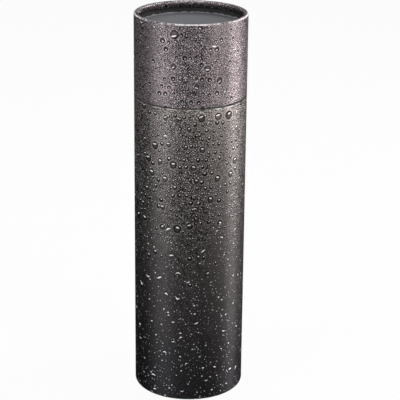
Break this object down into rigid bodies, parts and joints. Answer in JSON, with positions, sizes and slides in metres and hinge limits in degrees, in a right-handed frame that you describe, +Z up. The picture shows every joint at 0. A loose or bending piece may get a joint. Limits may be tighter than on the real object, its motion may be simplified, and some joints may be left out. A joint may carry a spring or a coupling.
{
  "type": "cylindrical gift tube box",
  "caption": "Rigid paper gift tube with a lift-off lid that sits flush on the body over an inner neck, with a recessed end at top and bottom.",
  "frame": {"origin": "centre of the foot, on the surface that the tube stands on", "axes": "+Z up along the tube's axis; +Y towards the lap of the printed paper at the back"},
  "size_m": [0.092, 0.0922, 0.323],
  "materials": {
    "greyboard": "bare grey board with fine fibres, matt",
    "lid_print": "art paper printed with water drops on a mauve grey ground, satin varnish",
    "body_print": "art paper printed with water drops on a grey ground that darkens to black, satin varnish",
    "black_board": "black dyed board, pressed, matt",
    "grey_paper": "plain grey paper, smooth and matt",
    "black_paper": "plain black lining paper, matt"
  },
  "bodies": {
    "tube_body": {"body_tube": "greyboard", "body_wrap": "body_print", "base_dish": "black_board", "base_face": "grey_paper", "neck_tube": "greyboard", "neck_cover": "black_paper", "neck_lining": "black_paper", "floor_paper": "black_paper"},
    "lid": {"lid_tube": "greyboard", "lid_wrap": "lid_print", "lid_dish": "black_board", "lid_face": "grey_paper", "lid_collar": "black_board", "lid_lining": "black_paper", "lid_ceiling": "black_paper"}
  },
  "joints": [
    {"name": "lid_lift", "type": "slide", "parent": "tube_body", "child": "lid", "axis": [0, 0, 1], "range_m": [0, 0.15]}
  ]
}
